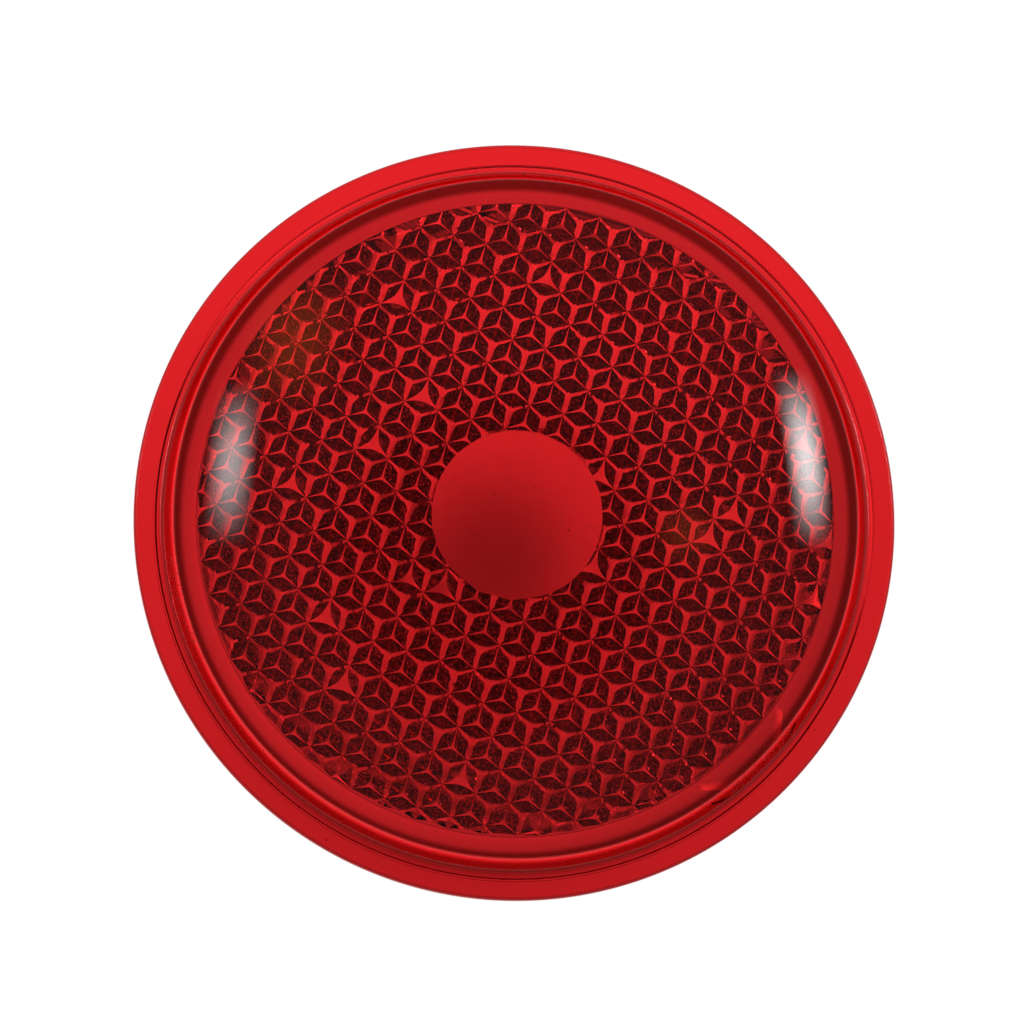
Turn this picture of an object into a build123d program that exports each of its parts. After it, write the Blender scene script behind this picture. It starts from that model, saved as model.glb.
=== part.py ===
from build123d import *
import os
from math import cos, hypot, radians, sin, sqrt

# A round press-on prism reflector, the head of a driveway snow marker.
# It stands upright: the lens looks along -Y, +X is to the right and +Z is up as seen from the front.
# The origin is the centre of the adhesive face, which bonds to the stake or post behind it.
# "Height" below is the distance in front of that face, along -Y. All sizes are millimetres.

# ---- driving dimensions ----
reflector_d = 82.55  # 3-1/4 in
flange_t = 2.2
flange_edge_r = 0.45
dome_r = 105.0  # crown radius of the front
dome_height = 11.2  # crown above the flange's back
shoulder_top_d = 73.8  # where the dome meets the shoulder wall
shoulder_foot_d = 76.2  # where the wall meets the flange
shoulder_top_r = 0.7
shoulder_foot_r = 0.9

prism_pitch = 3.66  # across the flats of one prism pin
row_angle = 14.6  # how far the prism rows are turned, anticlockwise from the front
field_d = 68.0  # outside of the prism field
window_d = 17.9  # clear disc at the middle of the field

cover_d = 78.0
cover_t = 0.9
cover_seat_gap = 0.15  # radial room between the cover and its recess
prism_air_gap = 0.3  # between the prism tips and the cover
cover_edge_chamfer = 0.2

pad_d = 66.0
pad_t = 1.1

liner_t = 0.13
liner_tab_r = 8.0
liner_tab_reach = 37.0  # from the axis to the end of the finger tab

# ---- heights worked out from them ----
seat_height = pad_t  # the back of the flange and of the cover
weld_height = seat_height + cover_t  # where the lens lands on the cover
tip_height = weld_height + prism_air_gap
crown_height = seat_height + dome_height

# A cube corner seen along its diagonal is a hexagon: its corners lie by turns one and two thirds down.
pin_corner_r = prism_pitch / sqrt(3)
cube_edge = prism_pitch / sqrt(2)
prism_depth = 2 * cube_edge / sqrt(3)
pin_length = prism_depth + 1.0
pocket_depth = tip_height + prism_depth + 0.5 - weld_height
ridge_angle = row_angle + 60  # direction of the first of the pin's three ridges
liner_tab_angle = row_angle - 60  # along a mirror plane of the prisms


def crown_drop(radius):
    """How far the dome has fallen below its crown at this distance from the axis."""
    return dome_r - sqrt(dome_r**2 - radius**2)


def at(radius, height):
    """A point of a profile that is revolved about Y."""
    return (radius, -height)


def unit(angle):
    return Vector(cos(radians(angle)), sin(radians(angle)), 0)


def ridge(angle):
    """Direction of a cube's edge, from the tip towards the front, in the pin's own frame."""
    return unit(angle) * sqrt(2 / 3) + Vector(0, 0, sqrt(1 / 3))


# ---- lens: one red acrylic moulding, first as a plain turned shape ----
shoulder_top = at(shoulder_top_d / 2, crown_height - crown_drop(shoulder_top_d / 2))
shoulder_foot = at(shoulder_foot_d / 2, seat_height + flange_t)
recess_r = cover_d / 2 + cover_seat_gap

with BuildPart() as lens_blank:
    with BuildSketch(Plane.XY):
        with BuildLine():
            Polyline(
                at(0, crown_height),
                at(0, weld_height),
                at(recess_r, weld_height),
                at(recess_r, seat_height),
                at(reflector_d / 2, seat_height),
                at(reflector_d / 2, seat_height + flange_t),
                shoulder_foot,
                shoulder_top,
            )
            RadiusArc(shoulder_top, at(0, crown_height), dome_r)
        make_face()
        rim_corners = vertices().filter_by_position(Axis.X, reflector_d / 2 - 0.01, reflector_d / 2 + 0.01)
        fillet(rim_corners, flange_edge_r)
        top_corner = vertices().sort_by_distance(shoulder_top)[0]
        fillet(top_corner, shoulder_top_r)
        foot_corner = vertices().sort_by_distance(shoulder_foot)[0]
        fillet(foot_corner, shoulder_foot_r)
    revolve(axis=Axis.Y)

# ---- one prism pin, tip at its own origin, a hexagonal bar that ends in the corner of a cube ----
with BuildPart() as prism_pin:
    with BuildSketch(Plane.XY):
        RegularPolygon(radius=pin_corner_r, side_count=6, rotation=row_angle)
    extrude(amount=pin_length)
    corner = Plane(origin=(0, 0, 0), x_dir=ridge(ridge_angle), z_dir=ridge(ridge_angle + 240))
    with Locations(corner):
        Box(
            3 * cube_edge,
            3 * cube_edge,
            3 * cube_edge,
            align=(Align.MIN, Align.MIN, Align.MIN),
            mode=Mode.INTERSECT,
        )


def pin_centres():
    """Centres of the pins that reach into the field, in rows prism_pitch apart."""
    along, across = unit(row_angle + 90), unit(row_angle + 30)
    reach = int(field_d / prism_pitch) + 1
    centres = []
    for i in range(-reach, reach + 1):
        for j in range(-reach, reach + 1):
            centre = (along * i + across * j) * prism_pitch
            distance = hypot(centre.X, centre.Y)
            if window_d / 2 - pin_corner_r < distance < field_d / 2 + pin_corner_r:
                centres.append((centre.X, centre.Y))
    return centres


# ---- the air pocket behind the prisms: a ring that the pins stand into ----
with BuildPart() as prism_pocket:
    with BuildSketch(Plane.XZ.offset(weld_height)):
        Circle(field_d / 2)
        Circle(window_d / 2, mode=Mode.SUBTRACT)
    extrude(amount=pocket_depth)
    with Locations(Plane.XZ.offset(tip_height)):
        with Locations(*pin_centres()):
            add(prism_pin.part, mode=Mode.SUBTRACT)

with BuildPart() as lens:
    add(lens_blank.part)
    add(prism_pocket.part, mode=Mode.SUBTRACT)
lens.part.label = "lens"

# ---- back cover: a plate welded into the lens's recess, which keeps water out of the prisms ----
with BuildPart() as back_cover:
    with BuildSketch(Plane.XZ.offset(seat_height)):
        Circle(cover_d / 2)
    extrude(amount=cover_t)
    chamfer(back_cover.edges().group_by(Axis.Y)[-1], cover_edge_chamfer)
back_cover.part.label = "back_cover"

# ---- foam pad: double-sided foam tape, a plain disc ----
with BuildPart() as foam_pad:
    with BuildSketch(Plane.XZ):
        Circle(pad_d / 2)
    extrude(amount=pad_t)
foam_pad.part.label = "foam_pad"

# ---- release liner: the film that is peeled off before sticking, with a finger tab ----
with BuildPart() as release_liner:
    with BuildSketch(Plane.XZ):
        Circle(pad_d / 2)
        with Locations(unit(liner_tab_angle) * (liner_tab_reach - liner_tab_r)):
            Circle(liner_tab_r)
    extrude(amount=-liner_t)
release_liner.part.label = "release_liner"

os.makedirs("parts", exist_ok=True)
for piece in (lens, back_cover, foam_pad, release_liner):
    export_step(piece.part, f"parts/{piece.part.label}.step")
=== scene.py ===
import math
import random

import bmesh
import bpy
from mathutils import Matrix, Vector
from mathutils.noise import noise as noise_at


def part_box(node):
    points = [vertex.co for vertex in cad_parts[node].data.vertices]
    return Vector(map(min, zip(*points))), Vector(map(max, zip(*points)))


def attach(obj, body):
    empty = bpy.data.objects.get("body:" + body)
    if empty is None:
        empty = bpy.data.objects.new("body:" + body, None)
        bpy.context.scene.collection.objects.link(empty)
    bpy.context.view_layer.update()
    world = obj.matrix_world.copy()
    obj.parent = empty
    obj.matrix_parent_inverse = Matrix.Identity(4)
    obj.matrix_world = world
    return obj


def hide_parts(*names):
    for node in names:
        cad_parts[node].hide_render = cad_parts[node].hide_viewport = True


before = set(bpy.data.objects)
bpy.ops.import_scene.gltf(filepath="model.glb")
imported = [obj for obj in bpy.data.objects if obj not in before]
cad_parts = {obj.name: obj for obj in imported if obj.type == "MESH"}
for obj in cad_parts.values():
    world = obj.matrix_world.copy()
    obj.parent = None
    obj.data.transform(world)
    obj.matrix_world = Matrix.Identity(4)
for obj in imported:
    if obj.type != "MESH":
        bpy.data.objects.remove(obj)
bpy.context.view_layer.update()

# A round press-on prism reflector, standing upright with its lens towards -Y.
# Shapes are worked out in millimetres in the lens's own view: x to the right, y up, and height
# in front of the adhesive face. place() turns those into the shared frame, in metres.
MM = 0.001

# ---- overall sizes, read from the frame ----
lens_low, lens_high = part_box("lens")
cover_low, cover_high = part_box("back_cover")
pad_low, pad_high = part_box("foam_pad")
liner_low, liner_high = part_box("release_liner")

RIM_R = lens_high.x / MM
CROWN_HEIGHT = -lens_low.y / MM
SEAT_HEIGHT = -lens_high.y / MM
WELD_HEIGHT = -cover_low.y / MM
COVER_R = cover_high.x / MM
PAD_R = pad_high.x / MM
PAD_FACE = -pad_high.y / MM
LINER_BACK = -liner_high.y / MM

# ---- the lens's own sizes ----
DOME_R = 105.0
FLANGE_T = 2.2
FLANGE_EDGE_R = 0.45
SHOULDER_TOP = 36.9
SHOULDER_FOOT = 38.1
SHOULDER_TOP_R = 0.7
SHOULDER_FOOT_R = 0.9
COVER_GAP = 0.15
RECESS_R = 0.1  # in the recess's outer corner
SKIN = 0.04  # air left between the lens and the cover, so that light finds two surfaces

PITCH = 3.66
ROW_ANGLE = 14.6
FIELD_R = 34.0
WINDOW_R = 8.95
TIP_GAP = 0.3
CORNER_R = PITCH / math.sqrt(3)
CUBE = PITCH / math.sqrt(2)
PRISM_DEPTH = 2 * CUBE / math.sqrt(3)
RIDGE_ANGLE = ROW_ANGLE + 60

# Each prism pin has three mirrors. The lower one has the best polish and the fullest outline.
# A mirror stays line back from its valleys and corner back from its pit, and its edge wanders by ragged.
SMOOTH_MIRROR = 1
SMOOTH_EDGE = {"line": 0.06, "corner": 0.3, "ragged": 0.01}
ROUGH_EDGE = {"line": 0.41, "corner": 0.56, "ragged": 0.11}
SEAM = {"line": 0.24, "corner": 0.43}  # a mirror edge at the valleys' own depth
BLUNT_SHARE = 0.05  # of the pins have a worn, blunt tip

# ---- the pad and the liner ----
PAD_GAP = 0.03  # air on both faces of the pad
LINER_T = 0.09
LINER_GAP = 0.012  # between the film and the back of its box
TAB_R = 8.0
TAB_OUT = 29.0  # from the axis to the middle of the liner's tab
TAB_ANGLE = ROW_ANGLE - 60

# ---- steps of the meshes ----
AROUND = 256  # round a lens circle
AROUND_SOFT = 720  # round the pad and the liner
DOME_RINGS = 44
CURVE_STEPS = 12  # along one side of a facet
CURVE_STOPS = (0, 0.05, 0.12, 0.24, 0.45, 0.75, 1.0)  # half of them, as shares of the way to the pit


def place(points):
    """From (x, y, height) in millimetres to the shared frame, in metres."""
    return [(x * MM, -height * MM, y * MM) for x, y, height in points]


def direction(angle):
    """A level direction in the lens's own view, anticlockwise from the right."""
    return Vector((math.cos(math.radians(angle)), math.sin(math.radians(angle)), 0))


def crown_drop(radius):
    """How far the dome has fallen below its crown at this distance from the axis."""
    return DOME_R - math.sqrt(DOME_R**2 - radius**2)


# ---------------------------------------------------------------- mesh helpers
def new_object(name, points, faces):
    """A mesh object from points in millimetres."""
    mesh = bpy.data.meshes.new(name)
    mesh.from_pydata(place(points), [], faces)
    mesh.update()
    piece = bpy.data.objects.new(name, mesh)
    bpy.context.scene.collection.objects.link(piece)
    return piece


def face_outwards(piece):
    work = bmesh.new()
    work.from_mesh(piece.data)
    bmesh.ops.recalc_face_normals(work, faces=work.faces)
    work.to_mesh(piece.data)
    work.free()


def smooth(piece, angle):
    """Smooth shading, with an edge kept wherever the surface turns by more than angle degrees."""
    for face in piece.data.polygons:
        face.use_smooth = True
    piece.data.set_sharp_from_angle(angle=math.radians(angle))


def rounded(points, radii, steps=8):
    """An outline with each inner corner replaced by an arc of its radius."""
    outline = [points[0]]
    for before, corner, after, radius in zip(points, points[1:], points[2:], radii):
        p, q, r = Vector(before), Vector(corner), Vector(after)
        if not radius:
            outline.append(tuple(q))
            continue
        to_p, to_r = (p - q).normalized(), (r - q).normalized()
        half = to_p.angle(to_r) / 2
        reach = radius / math.tan(half)
        centre = q + (to_p + to_r).normalized() * (radius / math.sin(half))
        start, end = q + to_p * reach - centre, q + to_r * reach - centre
        turn = start.angle_signed(end)
        for step in range(steps + 1):
            angle = -turn * step / steps
            spoke = Vector((
                start.x * math.cos(angle) - start.y * math.sin(angle),
                start.x * math.sin(angle) + start.y * math.cos(angle),
            ))
            outline.append(tuple(centre + spoke))
    outline.append(points[-1])
    return outline


def revolve(name, outline, around=AROUND, stretch=None):
    """A closed turned shape. Its outline is (radius, height) points and may start and end on the axis.

    stretch, where it is given, turns an angle into how much longer the radius is that way.
    """
    points, rings = [], []
    for radius, height in outline:
        if radius < 1e-6:
            rings.append([len(points)] * around)
            points.append((0, 0, height))
            continue
        rings.append(list(range(len(points), len(points) + around)))
        for step in range(around):
            angle = 360 * step / around
            spoke = direction(angle) * radius * (stretch(angle) if stretch else 1)
            points.append((spoke.x, spoke.y, height))
    faces = []
    pairs = list(zip(rings, rings[1:]))
    if outline[0][0] > 1e-6:
        pairs.append((rings[-1], rings[0]))
    for inner, outer in pairs:
        for step in range(around):
            after = (step + 1) % around
            corners = [inner[step], outer[step], outer[after], inner[after]]
            face = list(dict.fromkeys(corners))
            if len(face) > 2:
                faces.append(face)
    piece = new_object(name, points, faces)
    face_outwards(piece)
    return piece


def cut_away(piece, tool):
    """Takes tool's volume out of piece, for good, and removes tool."""
    change = piece.modifiers.new("cut", "BOOLEAN")
    change.object = tool
    change.operation = "DIFFERENCE"
    change.solver = "MANIFOLD"
    graph = bpy.context.evaluated_depsgraph_get()
    result = bpy.data.meshes.new_from_object(piece.evaluated_get(graph))
    piece.modifiers.clear()
    piece.data = result
    bpy.data.objects.remove(tool)


# ---------------------------------------------------------------- the lens
def lens_outline():
    """The lens as a turned shape: dome, shoulder, flange, recess for the cover, flat back."""
    dome = []
    dome_end = SHOULDER_TOP - 1.2
    for ring in range(DOME_RINGS):
        radius = dome_end * ring / (DOME_RINGS - 1)
        dome.append((radius, CROWN_HEIGHT - crown_drop(radius)))
    flange_front = SEAT_HEIGHT + FLANGE_T
    edge = [
        dome[-1],
        (SHOULDER_TOP, CROWN_HEIGHT - crown_drop(SHOULDER_TOP)),
        (SHOULDER_FOOT, flange_front),
        (RIM_R, flange_front),
        (RIM_R, SEAT_HEIGHT),
        (COVER_R + COVER_GAP, SEAT_HEIGHT),
        (COVER_R + COVER_GAP, WELD_HEIGHT + SKIN),
        (0, WELD_HEIGHT + SKIN),
    ]
    radii = [SHOULDER_TOP_R, SHOULDER_FOOT_R, FLANGE_EDGE_R, FLANGE_EDGE_R, RECESS_R, 0]
    return dome[:-1] + rounded(edge, radii)


def conic(start, control, end, weight, steps):
    """Points of a conic arc from start to end that is drawn towards control."""
    curve = []
    for step in range(steps + 1):
        t = step / steps
        a, b, c = (1 - t) ** 2, 2 * weight * t * (1 - t), t**2
        curve.append((start * a + control * b + end * c) / (a + b + c))
    return curve


def flat_onto(point, normal, distance):
    """The point moved level onto the upright plane that stands at this distance along normal."""
    return point + normal * (distance - point.dot(normal))


def valley_curve(along_u, along_v, line, corner):
    """A mirror's front edge: it leaves a low corner, then runs line back from the valley.

    Where the two valleys meet, it rounds the pit at corner instead.
    """
    half = []
    for fraction in CURVE_STOPS:
        reach = (CUBE - corner) * fraction
        back = line * (1 - (1 - min(fraction / 0.25, 1)) ** 2) + (corner - line) * fraction**5
        half.append((CUBE - back, reach))
    curve = [along_u * u + along_v * v for u, v in half]
    return curve + [along_u * v + along_v * u for u, v in half[-2::-1]]


def prism_tile(star, ridge_weight, rng):
    """One prism pin seen from behind, its tip at the origin: three square mirrors, 90 degrees apart.

    Each mirror is a flat leaf whose points lie at the pin's low corners. It stays about star back from
    the tip, and narrow bevels fill what is left between it and the ridges, valleys and pits.
    Returns the points and faces.
    """
    points, faces = [], []

    def put(point):
        points.append(tuple(point))
        return len(points) - 1

    up = Vector((0, 0, 1))
    half = CURVE_STEPS // 2
    for k in range(3):
        first, second = RIDGE_ANGLE + 120 * k, RIDGE_ANGLE + 120 * (k + 1)
        along_u = direction(first) * math.sqrt(2 / 3) + up * math.sqrt(1 / 3)
        along_v = direction(second) * math.sqrt(2 / 3) + up * math.sqrt(1 / 3)
        inner = (along_u + along_v) * star
        tip_side = conic(along_u * CUBE, inner, along_v * CUBE, ridge_weight, CURVE_STEPS)
        edge_kind = SMOOTH_EDGE if k == SMOOTH_MIRROR else ROUGH_EDGE
        ragged = edge_kind["ragged"]
        pit_side = valley_curve(along_u, along_v, edge_kind["line"], edge_kind["corner"])
        shared = valley_curve(along_u, along_v, SEAM["line"], SEAM["corner"])
        walls = (
            (tip_side, tip_side, direction(first + 90), direction(second + 90), 0),
            (pit_side, shared, direction(first + 30), direction(first + 90), PITCH / 2),
        )
        leaf = []
        for curve, seam, near, far, distance in walls:
            spine = [flat_onto(p, near, distance) for p in seam[: half + 1]]
            spine += [flat_onto(p, far, distance) for p in seam[half:]]
            if distance:
                for step in range(2, CURVE_STEPS - 1):
                    push = (along_u + along_v) * rng.uniform(-ragged, ragged)
                    curve[step] = curve[step] + push
            edge = [put(p) for p in curve]
            line_points = [put(p) for p in spine]
            for step in range(CURVE_STEPS):
                shift = step if step < half else step + 1
                quad = [edge[step], edge[step + 1], line_points[shift + 1], line_points[shift]]
                if step == 0:
                    quad = [edge[0], edge[1], line_points[1]]
                if step == CURVE_STEPS - 1:
                    quad = [edge[step], edge[step + 1], line_points[shift]]
                faces.append(quad)
            centre = Vector((0, 0, seam[half].z))
            if distance:
                centre = direction(first + 60) * CORNER_R + up * spine[half].z
            faces.append([edge[half], line_points[half], put(centre), line_points[half + 1]])
            leaf.append(edge)
        faces.append(leaf[0] + leaf[1][-2:0:-1])
    return points, faces


def pin_centres():
    """Centres of the pins that reach into the field, in rows one pitch apart."""
    along, across = direction(ROW_ANGLE + 90) * PITCH, direction(ROW_ANGLE + 30) * PITCH
    reach = int(2 * FIELD_R / PITCH) + 1
    for i in range(-reach, reach + 1):
        for j in range(-reach, reach + 1):
            centre = along * i + across * j
            if centre.length < FIELD_R + 2 * PITCH:
                yield centre


def prism_block():
    """The prism field as a closed block, its prisms facing back."""
    rng = random.Random(7)
    points, faces = [], []
    for centre in pin_centres():
        star, weight = rng.uniform(0.13, 0.21), rng.uniform(9.0, 14.0)
        if rng.random() < BLUNT_SHARE:
            star, weight = rng.uniform(0.3, 0.5), rng.uniform(2.0, 3.0)
        tile, tile_faces = prism_tile(star, weight, rng)
        base = len(points)
        tip = centre + Vector((0, 0, WELD_HEIGHT + TIP_GAP))
        points += [tuple(Vector(p) + tip) for p in tile]
        faces += [[base + index for index in face] for face in tile_faces]
    block = new_object("prism_block", points, faces)
    work = bmesh.new()
    work.from_mesh(block.data)
    bmesh.ops.remove_doubles(work, verts=work.verts, dist=0.0005 * MM)
    rim = [edge for edge in work.edges if edge.is_boundary]
    raised = bmesh.ops.extrude_edge_only(work, edges=rim)["geom"]
    top = -(WELD_HEIGHT + TIP_GAP + PRISM_DEPTH + 1.0) * MM
    for item in raised:
        if isinstance(item, bmesh.types.BMVert):
            item.co.y = top
    top_edges = [item for item in raised if isinstance(item, bmesh.types.BMEdge)]
    bmesh.ops.contextual_create(work, geom=top_edges)
    bmesh.ops.recalc_face_normals(work, faces=work.faces)
    work.to_mesh(block.data)
    work.free()
    return block


def make_lens():
    """The lens, with the prisms left standing in the pocket that is cut into its back."""
    lens = revolve("lens_optic", lens_outline())
    low, high = WELD_HEIGHT - 0.5, WELD_HEIGHT + TIP_GAP + PRISM_DEPTH + 0.5
    ring = [(WINDOW_R, low), (FIELD_R, low), (FIELD_R, high), (WINDOW_R, high)]
    pocket = revolve("pocket", ring)
    cut_away(pocket, prism_block())
    cut_away(lens, pocket)
    smooth(lens, 12.0)
    return lens


# ---------------------------------------------------------------- materials
def new_material(name):
    """A new material, with its node tree and its Principled shader."""
    material = bpy.data.materials.new(name)
    material.use_nodes = True
    tree = material.node_tree
    shader = next(node for node in tree.nodes if node.type == "BSDF_PRINCIPLED")
    return material, tree, shader


def math_node(tree, operation, first, second=None):
    """A Math node on sockets or plain numbers, which gives its output socket."""
    node = tree.nodes.new("ShaderNodeMath")
    node.operation = operation
    for socket, value in zip(node.inputs, (first, second)):
        if isinstance(value, (int, float)):
            socket.default_value = value
        elif value is not None:
            tree.links.new(value, socket)
    return node.outputs["Value"]


def ramp(tree, value, start, end, low=0.0, high=1.0):
    """Goes smoothly from low to high as value goes from start to end."""
    node = tree.nodes.new("ShaderNodeMapRange")
    node.interpolation_type = "SMOOTHSTEP"
    node.inputs["From Min"].default_value = start
    node.inputs["From Max"].default_value = end
    node.inputs["To Min"].default_value = low
    node.inputs["To Max"].default_value = high
    tree.links.new(value, node.inputs["Value"])
    return node.outputs["Result"]


def blend(tree, factor, first, second):
    """A colour between two colours, each given as three numbers."""
    node = tree.nodes.new("ShaderNodeMix")
    node.data_type = "RGBA"
    tree.links.new(factor, node.inputs["Factor"])
    colour_a, colour_b, result = node.inputs[6], node.inputs[7], node.outputs[2]
    colour_a.default_value = (*first, 1)
    colour_b.default_value = (*second, 1)
    return result


def mix_value(tree, factor, first, second):
    """A value between two values, each a socket or a plain number."""
    node = tree.nodes.new("ShaderNodeMix")
    tree.links.new(factor, node.inputs["Factor"])
    for name, value in (("A", first), ("B", second)):
        if isinstance(value, (int, float)):
            node.inputs[name].default_value = value
        else:
            tree.links.new(value, node.inputs[name])
    return node.outputs["Result"]


def dot(tree, vector, axis):
    """How far a vector socket reaches along an axis."""
    node = tree.nodes.new("ShaderNodeVectorMath")
    node.operation = "DOT_PRODUCT"
    tree.links.new(vector, node.inputs[0])
    node.inputs[1].default_value = axis
    return node.outputs["Value"]


def level_length(tree, vector):
    """Length of a vector socket, leaving out what it has along Y."""
    flat = tree.nodes.new("ShaderNodeVectorMath")
    flat.operation = "MULTIPLY"
    flat.inputs[1].default_value = (1, 0, 1)
    length = tree.nodes.new("ShaderNodeVectorMath")
    length.operation = "LENGTH"
    tree.links.new(vector, flat.inputs[0])
    tree.links.new(flat.outputs["Vector"], length.inputs[0])
    return length.outputs["Value"]


def radius_from_axis(tree):
    """Distance from the reflector's axis, in metres."""
    return level_length(tree, tree.nodes.new("ShaderNodeTexCoord").outputs["Object"])


def radius_from(tree, x, z):
    """Distance from a line beside the reflector's axis, in metres."""
    where = tree.nodes.new("ShaderNodeTexCoord")
    shift = tree.nodes.new("ShaderNodeVectorMath")
    shift.inputs[1].default_value = (-x, 0, -z)
    tree.links.new(where.outputs["Object"], shift.inputs[0])
    return level_length(tree, shift.outputs["Vector"])


def mirror_mask(tree):
    """1 on the two rougher mirrors of every prism pin and 0 elsewhere."""
    normal = tree.nodes.new("ShaderNodeNewGeometry").outputs["True Normal"]
    nearly_parallel = 0.985
    masks = []
    for k in range(3):
        if k == SMOOTH_MIRROR:
            continue
        level = direction(RIDGE_ANGLE + 60 + 120 * k) * math.sqrt(2 / 3)
        facing = math_node(tree, "ABSOLUTE", dot(tree, normal, (level.x, math.sqrt(1 / 3), level.y)))
        masks.append(math_node(tree, "GREATER_THAN", facing, nearly_parallel))
    return math_node(tree, "MAXIMUM", *masks)


def noise(tree, size, detail=2.0):
    """A noise pattern in the object's own space. Blobs are about size apart, in metres."""
    where = tree.nodes.new("ShaderNodeTexCoord")
    node = tree.nodes.new("ShaderNodeTexNoise")
    node.inputs["Scale"].default_value = 1 / size
    node.inputs["Detail"].default_value = detail
    tree.links.new(where.outputs["Object"], node.inputs["Vector"])
    return node.outputs["Fac"]


def specks(tree, spacing, size, share):
    """Scattered dots, 1 inside a dot, in metres. share of the cells, spacing apart, have one."""
    where = tree.nodes.new("ShaderNodeTexCoord")
    node = tree.nodes.new("ShaderNodeTexVoronoi")
    node.inputs["Scale"].default_value = 1 / spacing
    tree.links.new(where.outputs["Object"], node.inputs["Vector"])
    chance = tree.nodes.new("ShaderNodeSeparateColor")
    tree.links.new(node.outputs["Color"], chance.inputs["Color"])
    chosen = math_node(tree, "LESS_THAN", chance.outputs["Red"], share)
    dot_size = math_node(tree, "MULTIPLY", chance.outputs["Green"], size / spacing)
    inside = math_node(tree, "LESS_THAN", node.outputs["Distance"], dot_size)
    return math_node(tree, "MULTIPLY", inside, chosen)


def band(tree, radius, start, full, fall, end):
    """Rises from 0 at the radius start to 1 at full, then goes back to 0 from fall to end."""
    return math_node(tree, "MULTIPLY", ramp(tree, radius, start, full), ramp(tree, radius, end, fall))


def bump(tree, shader, height, distance, strength):
    """Adds relief, distance metres deep, to the shader. strength is a socket or a number."""
    node = tree.nodes.new("ShaderNodeBump")
    node.inputs["Distance"].default_value = distance
    if isinstance(strength, float):
        node.inputs["Strength"].default_value = strength
    else:
        tree.links.new(strength, node.inputs["Strength"])
    tree.links.new(height, node.inputs["Height"])
    tree.links.new(node.outputs["Normal"], shader.inputs["Normal"])


def set_clear(shader, ior, transmission=1.0):
    shader.inputs["IOR"].default_value = ior
    shader.inputs["Transmission Weight"].default_value = transmission


def red_acrylic():
    """Clear red acrylic: blotched prism mirrors, a darker outer rim edge, painted shade on the pocket wall,
    and grains of dirt.
    """
    # The near-black red serves the grains of dirt, the darker rim edge, and painted shade on the pocket
    # wall.
    red, dirt_and_shade_red = (0.95, 0.019, 0.024), (0.08, 0.002, 0.003)
    wall_inner, wall_outer = 0.00002, 0.00005
    material, tree, shader = new_material("red_acrylic")
    large_grains = specks(tree, 0.0035, 0.00022, 0.4)
    small_grains = specks(tree, 0.0017, 0.00012, 0.12)
    dirt = math_node(tree, "MAXIMUM", large_grains, small_grains)
    radius = radius_from_axis(tree)
    at_wall = FIELD_R * MM
    # Painted shade: the prism pocket's outer wall is coloured near black to give the dark band at the
    # field's edge.
    wall = band(
        tree, radius, at_wall - wall_outer, at_wall - wall_inner, at_wall + wall_inner, at_wall + wall_outer
    )
    # Darker towards the rim's outer edge.
    edge = ramp(tree, radius, (RIM_R - 0.22) * MM, (RIM_R - 0.1) * MM, 0.0, 0.85)
    dark = math_node(tree, "MAXIMUM", math_node(tree, "MAXIMUM", wall, edge), dirt)
    tree.links.new(blend(tree, dark, red, dirt_and_shade_red), shader.inputs["Base Color"])

    blotch = ramp(tree, noise(tree, 0.00033), 0.46, 0.62)
    spoilt = math_node(tree, "MULTIPLY", mirror_mask(tree), blotch)
    tree.links.new(math_node(tree, "MULTIPLY", spoilt, 0.35), shader.inputs["Roughness"])
    bump(tree, shader, noise(tree, 0.00035), 0.00012, spoilt)
    set_clear(shader, 1.49)

    absorb = tree.nodes.new("ShaderNodeVolumeAbsorption")
    absorb.inputs["Color"].default_value = (0.0, 0.0, 0.0, 1)
    absorb.inputs["Density"].default_value = 30.0
    output = next(node for node in tree.nodes if node.type == "OUTPUT_MATERIAL")
    tree.links.new(absorb.outputs["Volume"], output.inputs["Volume"])
    return material


def cover_plastic():
    """Clear plastic, lightly frosted, with painted shade in dark red on the ring that is welded to the red
    lens.
    """
    clear, weld_shade_red = (0.98, 0.98, 0.98), (0.30, 0.008, 0.010)
    material, tree, shader = new_material("cover_plastic")
    # Painted shade: the welded ring is real, and its dark red stands in for the shade of the dark bands over
    # the lens's shoulder.
    weld_ring_shade = band(tree, radius_from_axis(tree), 0.0352, 0.0360, 0.0377, 0.0380)
    tree.links.new(blend(tree, weld_ring_shade, clear, weld_shade_red), shader.inputs["Base Color"])
    frost = ramp(tree, noise(tree, 0.004), 0.35, 0.65, 0.03, 0.08)
    tree.links.new(frost, shader.inputs["Roughness"])
    set_clear(shader, 1.49)
    return material


def foam():
    """Translucent white acrylic foam with fine closed cells."""
    solid, hollow = (0.93, 0.93, 0.915), (0.82, 0.82, 0.80)
    material, tree, shader = new_material("foam")
    cells = specks(tree, 0.0006, 0.00034, 0.75)
    tree.links.new(blend(tree, cells, solid, hollow), shader.inputs["Base Color"])
    shader.inputs["Roughness"].default_value = 0.45
    set_clear(shader, 1.2, 0.85)
    bump(tree, shader, noise(tree, 0.0005), 0.00006, 0.6)
    return material


def liner_film():
    """Clear film, faintly yellow and cloudy, with a soft sheen and fine creases."""
    cloudy, clear = (0.95, 0.945, 0.92), (0.98, 0.978, 0.96)
    material, tree, shader = new_material("liner_film")
    cloud = ramp(tree, noise(tree, 0.009, 4.0), 0.3, 0.7)
    tree.links.new(blend(tree, cloud, cloudy, clear), shader.inputs["Base Color"])
    sheen = ramp(tree, noise(tree, 0.002), 0.3, 0.7, 0.12, 0.2)
    tree.links.new(sheen, shader.inputs["Roughness"])
    set_clear(shader, 1.4)
    bump(tree, shader, noise(tree, 0.0011, 3.0), 0.00005, 0.5)
    return material


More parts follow.
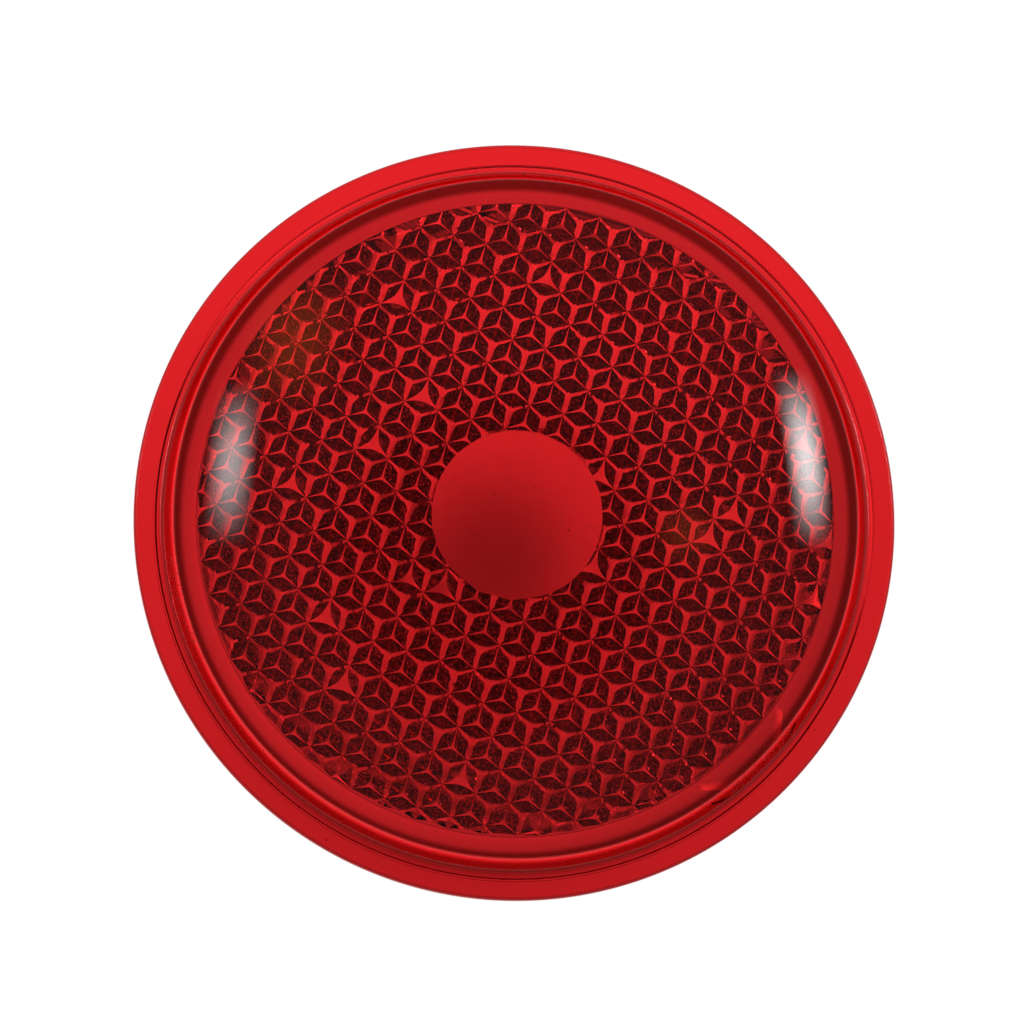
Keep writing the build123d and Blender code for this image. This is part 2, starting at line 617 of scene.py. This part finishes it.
# ---------------------------------------------------------------- the pad and its liner
def ripple(piece, amount, size, low, high):
    """Moves a flat piece's points front or back by up to amount, in waves about size across.

    Both faces move together, and no point leaves the box from low to high.
    """
    for vertex in piece.data.vertices:
        where = Vector((vertex.co.x, 0, vertex.co.z)) / (size * MM)
        vertex.co.y += noise_at(where) * amount * MM
        vertex.co.y = min(max(vertex.co.y, low.y), high.y)


def rings_to(radius, height, step):
    """Points of a flat face, step apart, from the axis out to just short of radius."""
    count = int(radius / step)
    return [(radius * i / count, height) for i in range(count)]


def make_pad():
    """Foam tape cut with a die: its edge bulges a little and its faces are not quite flat."""
    ring_gap, edge_steps, edge_inset = 1.5, 8, 0.3
    rng = random.Random(3)
    back, front = PAD_FACE + PAD_GAP, SEAT_HEIGHT - PAD_GAP
    edge = []
    for step in range(edge_steps + 1):
        up = step / edge_steps
        bulge = 0.10 * math.sin(math.pi * up) + 0.05 * math.sin(math.pi * min(2 * up, 1))
        edge.append((PAD_R - edge_inset + bulge, back + (front - back) * up))
    flat_r = PAD_R - 0.5
    outline = rings_to(flat_r, back, ring_gap) + edge + rings_to(flat_r, front, ring_gap)[::-1]
    waves = [(rng.uniform(0, 360), rng.randint(20, 90)) for _ in range(9)]

    def cut(angle):
        """The die's small wobble round the edge."""
        total = sum(math.sin(math.radians(angle * count + start)) for start, count in waves)
        return 1 + total * 0.00035

    pad = revolve("foam_pad_soft", outline, AROUND_SOFT, cut)
    ripple(pad, 0.03, 2.5, pad_low, pad_high)
    smooth(pad, 50.0)
    return pad


def make_liner():
    """The film over the adhesive, a disc with a finger tab that reaches past it."""
    ring_gap, bevel = 1.0, 0.02
    back = LINER_BACK + LINER_GAP
    front = back + LINER_T

    def with_tab(angle):
        """How far the film reaches this way, as a multiple of the disc's radius."""
        turn = math.radians(angle - TAB_ANGLE)
        inside = TAB_R**2 - (TAB_OUT * math.sin(turn)) ** 2
        if inside <= 0 or math.cos(turn) < 0:
            return 1.0
        return max(1.0, (TAB_OUT * math.cos(turn) + math.sqrt(inside)) / PAD_R)

    outline = rings_to(PAD_R, back, ring_gap)
    outline += [(PAD_R - bevel, back), (PAD_R, back + bevel)]
    outline += [(PAD_R, front - bevel), (PAD_R - bevel, front)]
    outline += rings_to(PAD_R, front, ring_gap)[::-1]
    liner = revolve("release_liner_film", outline, AROUND_SOFT, with_tab)
    ripple(liner, 0.03, 9.0, liner_low, liner_high)
    smooth(liner, 50.0)
    return liner


# ---------------------------------------------------------------- build
def fit_out(piece, node, body, material):
    """Gives the piece its material and puts it in place of the CAD node."""
    piece.data.materials.clear()
    piece.data.materials.append(material)
    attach(piece, body)
    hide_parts(node)


pad = make_pad()
fit_out(make_lens(), "lens", "reflector", red_acrylic())
fit_out(pad, "foam_pad", "reflector", foam())
fit_out(make_liner(), "release_liner", "liner", liner_film())
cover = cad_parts["back_cover"]
cover.data.materials.clear()
cover.data.materials.append(cover_plastic())


# ---------------------------------------------------------------- stage
def add_plane(name, corners):
    """A single square face, which is part of the stage."""
    mesh = bpy.data.meshes.new(name)
    mesh.from_pydata(corners, [], [(0, 1, 2, 3)])
    plane = bpy.data.objects.new(name, mesh)
    bpy.context.scene.collection.objects.link(plane)
    return plane


def add_floor():
    """A plain white floor that fades out, and that the lens does not mirror."""
    half, level = 0.6, lens_low.z - 0.06
    floor = add_plane(
        "floor", [(-half, -half, level), (half, -half, level), (half, half, level), (-half, half, level)]
    )
    floor.visible_glossy = False
    material, tree, shader = new_material("floor_white")
    shader.inputs["Base Color"].default_value = (0.85, 0.85, 0.85, 1)
    shader.inputs["Roughness"].default_value = 0.8
    where = tree.nodes.new("ShaderNodeTexCoord")
    length = tree.nodes.new("ShaderNodeVectorMath")
    length.operation = "LENGTH"
    tree.links.new(where.outputs["Object"], length.inputs[0])
    fade = ramp(tree, length.outputs["Value"], 0.22, 0.42, 1.0, 0.0)
    tree.links.new(fade, shader.inputs["Alpha"])
    floor.data.materials.append(material)


def back_glow(tree):
    """The light panel's strength: brighter upwards, dim behind the middle and the smooth ring."""
    where = tree.nodes.new("ShaderNodeTexCoord").outputs["Object"]
    radius = radius_from_axis(tree)
    inner = ramp(tree, dot(tree, where, (0.1, 0, 1)), -0.05, 0.05, 0.40, 1.06)
    outer = ramp(tree, dot(tree, where, (0, 0, 1)), -0.05, 0.05, 0.59, 0.94)
    hub = ramp(tree, radius_from(tree, -0.0015, -0.002), 0.002, 0.013, 0.8, 2.0)
    ring = ramp(tree, radius, 0.026, 0.034, 1.0, 0.36)
    inner = math_node(tree, "MULTIPLY", math_node(tree, "MULTIPLY", inner, hub), ring)
    both = mix_value(tree, ramp(tree, radius, 0.035, 0.040), inner, outer)
    edge = ramp(tree, radius, 0.052, 0.06, 1.0, 0.0)
    return math_node(tree, "MULTIPLY", both, edge)


def add_back_light():
    """A light panel behind the reflector, which only light that passes through the plastic finds."""
    half, y = 0.06, 0.018
    panel = add_plane("back_light", [(-half, y, -half), (half, y, -half), (half, y, half), (-half, y, half)])
    panel.visible_camera = False
    panel.visible_diffuse = False
    panel.visible_glossy = False
    panel.visible_shadow = False
    material, tree, shader = new_material("back_light")
    shader.inputs["Base Color"].default_value = (0, 0, 0, 1)
    shader.inputs["Roughness"].default_value = 1.0
    shader.inputs["Specular IOR Level"].default_value = 0.0
    shader.inputs["Emission Color"].default_value = (1, 1, 1, 1)
    tree.links.new(back_glow(tree), shader.inputs["Emission Strength"])
    panel.data.materials.append(material)


def aimed(azimuth, elevation):
    """A direction from the reflector. Azimuth 0 is in front of the lens and 90 is to its right."""
    turn, rise = math.radians(azimuth), math.radians(elevation)
    level = math.cos(rise)
    return Vector((math.sin(turn) * level, -math.cos(turn) * level, math.sin(rise)))


def sky_light(tree, direction_out, azimuth, elevation, half_width, half_height, strength):
    """A soft-edged light in the sky, half_width by half_height degrees to where it has faded out."""
    centre = aimed(azimuth, elevation)
    side = Vector((0, 0, 1)).cross(centre).normalized()
    upward = centre.cross(side)
    across = math_node(tree, "ABSOLUTE", dot(tree, direction_out, side))
    along = math_node(tree, "ABSOLUTE", dot(tree, direction_out, upward))
    wide = ramp(tree, across, 0, math.sin(math.radians(half_width)), 1, 0)
    tall = ramp(tree, along, 0, math.sin(math.radians(half_height)), 1, 0)
    front = ramp(tree, dot(tree, direction_out, centre), 0, 0.1, 0, strength)
    return math_node(tree, "MULTIPLY", math_node(tree, "MULTIPLY", wide, tall), front)


def add_world():
    """White to the camera; to the plastic a studio that is dark in front, with two tall soft lights."""
    world = bpy.data.worlds.new("studio")
    bpy.context.scene.world = world
    world.use_nodes = True
    tree = world.node_tree
    tree.nodes.clear()
    where = tree.nodes.new("ShaderNodeTexCoord").outputs["Generated"]
    backward = dot(tree, where, (0, 1, 0))
    light = ramp(tree, backward, -0.8, 0.3, 0.0, 0.42)
    extras = (
        ramp(tree, backward, -0.97, -0.88, 0.03, 0.085),
        ramp(tree, backward, 0.3, 0.9, 0.0, 0.5),
        sky_light(tree, where, -35.5, 13.5, 3.6, 11, 8.0),
        sky_light(tree, where, 42, 14.5, 3.2, 11.5, 18),
    )
    for extra in extras:
        light = math_node(tree, "ADD", light, extra)
    warm_left = sky_light(tree, where, -29, 29.5, 8, 11, 1.8)
    warm_right = sky_light(tree, where, 24.6, 4.7, 5, 5, 1.2)
    warm_light = math_node(tree, "ADD", warm_left, warm_right)

    in_view = tree.nodes.new("ShaderNodeLightPath").outputs["Is Camera Ray"]
    both = tree.nodes.new("ShaderNodeAddShader")
    parts = (
        ((1, 1, 1, 1), light, 1.0),
        ((1.0, 0.17, 0.03, 1), warm_light, 0.0),
    )
    for socket, (colour, strength, to_camera) in zip(both.inputs, parts):
        background = tree.nodes.new("ShaderNodeBackground")
        background.inputs["Color"].default_value = colour
        tree.links.new(mix_value(tree, in_view, strength, to_camera), background.inputs["Strength"])
        tree.links.new(background.outputs["Background"], socket)
    output = tree.nodes.new("ShaderNodeOutputWorld")
    tree.links.new(both.outputs["Shader"], output.inputs["Surface"])


def add_camera():
    """From a little below and to the left of the lens's axis, as the photograph was taken."""
    azimuth, elevation, distance = -2.8, -7.5, 0.45
    view_width = 0.1100
    aim = Vector((-0.00058, (lens_low.y + lens_high.y) / 2, 0.00022))
    data = bpy.data.cameras.new("camera")
    data.sensor_width = 36.0
    data.lens = data.sensor_width * distance / view_width
    camera = bpy.data.objects.new("camera", data)
    bpy.context.scene.collection.objects.link(camera)
    away = aimed(azimuth, elevation)
    camera.location = aim + away * distance
    camera.rotation_euler = away.to_track_quat("Z", "Y").to_euler()
    bpy.context.scene.camera = camera


add_floor()
add_world()
add_back_light()
add_camera()
bpy.context.scene.view_settings.view_transform = "Standard"
cycles = bpy.context.scene.cycles
cycles.max_bounces = 24
cycles.transmission_bounces = 16
cycles.glossy_bounces = 12
